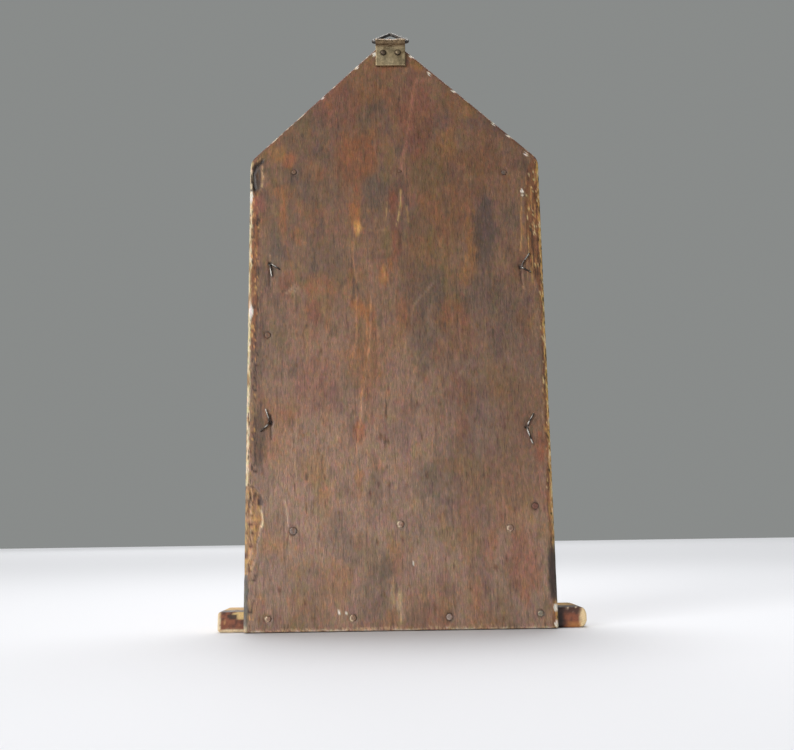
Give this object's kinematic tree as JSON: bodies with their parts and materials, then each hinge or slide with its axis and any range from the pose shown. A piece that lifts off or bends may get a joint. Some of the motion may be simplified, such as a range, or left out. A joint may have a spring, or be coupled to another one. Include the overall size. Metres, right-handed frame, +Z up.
{
  "type": "triptych altarpiece",
  "caption": "Small gabled wooden triptych on a moulded base, with gilt wings on wire hinges that fold over a painted panel, and a hanging ring at the back.",
  "frame": {"origin": "middle of the underside of the whole object, on the surface it stands on", "axes": "+X to the right seen from the front, +Y from front to back, +Z up; the wings are closed"},
  "size_m": [0.1796, 0.0398, 0.3168],
  "materials": {
    "stained_wood": "red-brown stain over vertical grain, semi-gloss, scratched, blotchy and rubbed through at the edges",
    "gilt_wood": "worn gilding over red bole and cream gesso, satin",
    "painted_wood": "matt painted figures on a gilt ground, lightly crazed",
    "antique_brass": "tarnished, brushed",
    "iron_wire": "dark, with bright rubbed highlights",
    "iron_nails": "dark, oxidised"
  },
  "bodies": {
    "case": {"base": "gilt_wood", "back_board": "stained_wood", "predella": "gilt_wood", "bottom_rail": "gilt_wood", "left_stile": "gilt_wood", "right_stile": "gilt_wood", "arched_head": "gilt_wood", "centre_panel": "painted_wood", "hanger_plate": "antique_brass", "hanger_nail_left": "antique_brass", "hanger_nail_right": "antique_brass", "nail_base_1": "iron_nails", "nail_base_2": "iron_nails", "nail_base_3": "iron_nails", "nail_base_4": "iron_nails", "nail_rail_left": "iron_nails", "nail_rail_middle": "iron_nails", "nail_rail_right": "iron_nails", "nail_stile_left": "iron_nails", "nail_stile_right": "iron_nails", "nail_head_left": "iron_nails", "nail_head_middle": "iron_nails", "nail_head_right": "iron_nails", "nail_head_side": "iron_nails", "hinge_wire_case_left_upper": "iron_wire", "hinge_wire_case_left_lower": "iron_wire", "hinge_wire_case_right_upper": "iron_wire", "hinge_wire_case_right_lower": "iron_wire"},
    "left_wing": {"left_wing": "gilt_wood", "hinge_wire_wing_left_upper": "iron_wire", "hinge_wire_wing_left_lower": "iron_wire"},
    "right_wing": {"right_wing": "gilt_wood", "hinge_wire_wing_right_upper": "iron_wire", "hinge_wire_wing_right_lower": "iron_wire"},
    "ring": {"hanger_ring": "iron_wire"}
  },
  "joints": [
    {"name": "left_wing_hinge", "type": "hinge", "parent": "case", "child": "left_wing", "pos_m": [-0.0757, 0.00175, 0.14], "axis": [0, 0, -1], "range_deg": [0, 180]},
    {"name": "right_wing_hinge", "type": "hinge", "parent": "case", "child": "right_wing", "pos_m": [0.0772, 0.00175, 0.14], "axis": [0, 0, 1], "range_deg": [0, 180]},
    {"name": "ring_swing", "type": "hinge", "parent": "case", "child": "ring", "pos_m": [0.0021, 0.01815, 0.3061], "axis": [1, 0, 0], "range_deg": [-191, 22]}
  ]
}
